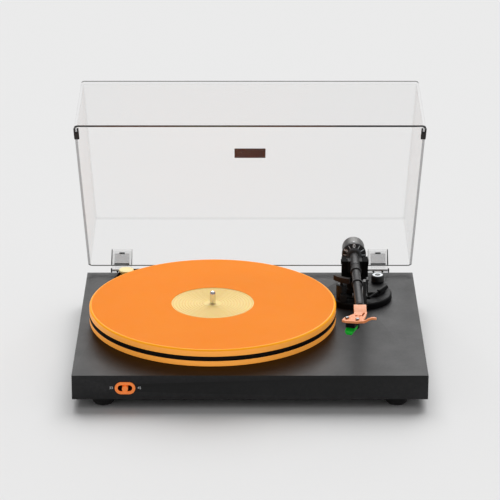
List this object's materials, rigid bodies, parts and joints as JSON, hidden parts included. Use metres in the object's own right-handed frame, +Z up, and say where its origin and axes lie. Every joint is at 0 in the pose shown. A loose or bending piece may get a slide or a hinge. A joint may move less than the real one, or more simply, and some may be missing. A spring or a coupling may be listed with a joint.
{
  "type": "turntable record player",
  "caption": "Belt-driven record player: dark rectangular plinth, orange platter, straight pivoted tonearm with counterweight, and a hinged clear dust cover standing open.",
  "frame": {"origin": "on the surface the feet stand on, under the middle of the player's bounding box with the dust cover open", "axes": "+X to the right as seen from the front, where the switch is; +Y to the back, where the hinges and sockets are; +Z up"},
  "size_m": [0.415, 0.3886, 0.3437],
  "materials": {
    "plinth_paint": "dark satin lacquer on board",
    "black_cover": "textured",
    "foot_rubber": "matte",
    "zinc_screws": "zinc plated",
    "bearing_brass": "machined",
    "polished_steel": "polished",
    "orange_acrylic": "satin cast acrylic",
    "hub_metal": "turned",
    "motor_steel": "satin",
    "pulley_cream": "satin",
    "belt_rubber": "matte",
    "orange_plastic": "satin",
    "black_plastic": "satin",
    "gold_contacts": "gold plated",
    "board_green": "solder mask",
    "board_parts": "moulded",
    "clear_cover": "clear moulded plastic",
    "badge_lens": "gloss",
    "hinge_clear": "translucent plastic",
    "black_steel": "blackened",
    "arm_black": "satin black",
    "cue_rubber": "matte",
    "arm_tube_dark": "satin dark grey",
    "shell_orange": "satin",
    "cartridge_black": "satin",
    "stylus_green": "satin",
    "weight_metal": "metallic grey",
    "dial_black": "satin"
  },
  "bodies": {
    "base": {"plinth": "plinth_paint", "bottom_cover": "black_cover", "cover_screws": "zinc_screws", "foot_front_left": "foot_rubber", "foot_front_right": "foot_rubber", "foot_rear_left": "foot_rubber", "foot_rear_right": "foot_rubber", "foot_screws": "zinc_screws", "main_bearing": "bearing_brass", "bearing_ball": "polished_steel", "bearing_screws": "zinc_screws", "motor": "motor_steel", "motor_plate": "motor_steel", "motor_grommets": "foot_rubber", "motor_screws": "zinc_screws", "belt": "belt_rubber", "switch_bezel": "orange_plastic", "switch_body": "black_cover", "rear_panel": "black_cover", "panel_screws": "zinc_screws", "dc_inlet": "black_plastic", "rca_jacks": "gold_contacts", "ground_terminal": "gold_contacts", "control_board": "board_green", "board_parts": "board_parts", "board_screws": "zinc_screws", "hinge_base_left": "hinge_clear", "hinge_base_right": "hinge_clear", "hinge_screws": "zinc_screws", "arm_base": "arm_black", "arm_base_plate": "arm_black", "arm_pillar": "arm_black", "pivot_bearings": "polished_steel", "armrest": "black_plastic", "cue_housing": "black_plastic"},
    "platter_body": {"platter": "orange_acrylic", "platter_hub": "hub_metal", "spindle": "polished_steel"},
    "drive": {"motor_shaft": "polished_steel", "pulley": "pulley_cream"},
    "lid": {"dust_cover": "clear_cover", "cover_badge": "badge_lens", "cover_bumpers": "foot_rubber", "hinge_arm_left": "hinge_clear", "hinge_arm_right": "hinge_clear", "hinge_pins": "black_steel"},
    "arm_yoke": {"gimbal_yoke": "arm_black", "pivot_screws": "polished_steel"},
    "arm": {"arm_tube": "arm_tube_dark", "headshell": "shell_orange", "cartridge": "cartridge_black"},
    "stylus_plug": {"stylus": "stylus_green"},
    "weight_carrier": {"counterweight_bush": "weight_metal"},
    "weight": {"counterweight": "weight_metal"},
    "weight_dial": {"force_dial": "dial_black"},
    "lift_lever": {"cue_lever": "black_plastic"},
    "lift_platform": {"cue_platform": "cue_rubber"},
    "skate_dial": {"antiskate_dial": "black_plastic"},
    "latch": {"armrest_clip": "black_plastic"},
    "speed_switch": {"switch_knob": "orange_plastic"}
  },
  "joints": [
    {"name": "platter_spin", "type": "hinge", "parent": "base", "child": "platter_body", "pos_m": [-0.0452, -0.0324, 0.0496], "axis": [0, 0, 1], "continuous": true},
    {"name": "pulley_spin", "type": "hinge", "parent": "base", "child": "drive", "pos_m": [-0.1556, 0.0961, 0.0567], "axis": [0, 0, 1], "continuous": true},
    {"name": "lid_hinge", "type": "hinge", "parent": "base", "child": "lid", "pos_m": [0, 0.1492, 0.0425], "axis": [1, 0, 0], "range_deg": [-8, 50.5]},
    {"name": "arm_swing", "type": "hinge", "parent": "base", "child": "arm_yoke", "pos_m": [0.13, 0.0561, 0.09], "axis": [0, 0, 1], "range_deg": [-45, 0]},
    {"name": "arm_lift", "type": "hinge", "parent": "arm_yoke", "child": "arm", "pos_m": [0.13, 0.0561, 0.09], "axis": [-1, 0, 0], "range_deg": [-1.9, 1.8]},
    {"name": "stylus_pull", "type": "slide", "parent": "arm", "child": "stylus_plug", "axis": [-0.3584, -0.9332, 0.0261], "range_m": [0, 0.012]},
    {"name": "weight_slide", "type": "slide", "parent": "arm", "child": "weight_carrier", "axis": [0, 0.9996, -0.0279], "range_m": [-0.005, 0.005]},
    {"name": "weight_turn", "type": "hinge", "parent": "weight_carrier", "child": "weight", "pos_m": [0.13, 0.0561, 0.09], "axis": [0, 0.9996, -0.0279], "range_deg": [-720, 720]},
    {"name": "dial_turn", "type": "hinge", "parent": "weight_carrier", "child": "weight_dial", "pos_m": [0.13, 0.0561, 0.09], "axis": [0, 0.9996, -0.0279], "range_deg": [-180, 180]},
    {"name": "lever_tilt", "type": "hinge", "parent": "base", "child": "lift_lever", "pos_m": [0.147, 0.0241, 0.0545], "axis": [1, 0, 0], "range_deg": [0, 70]},
    {"name": "lift_platform_slide", "type": "slide", "parent": "base", "child": "lift_platform", "axis": [0, 0, 1], "range_m": [0, 0.006]},
    {"name": "skate_turn", "type": "hinge", "parent": "base", "child": "skate_dial", "pos_m": [0.1597, 0.0771, 0.056], "axis": [0, 0, 1], "range_deg": [0, 270]},
    {"name": "latch_swing", "type": "hinge", "parent": "base", "child": "latch", "pos_m": [0.1416, -0.0379, 0.1026], "axis": [0, -1, 0], "range_deg": [0, 268]},
    {"name": "switch_slide", "type": "slide", "parent": "base", "child": "speed_switch", "axis": [1, 0, 0], "range_m": [-0.0045, 0.0045]}
  ],
  "couplings": [
    {"joint": "pulley_spin", "follows": "platter_spin", "ratio": 21.043},
    {"joint": "weight_slide", "follows": "weight_turn", "m_per_rad": 0.00039789},
    {"joint": "lift_platform_slide", "follows": "lever_tilt", "m_per_rad": 0.0048419}
  ]
}
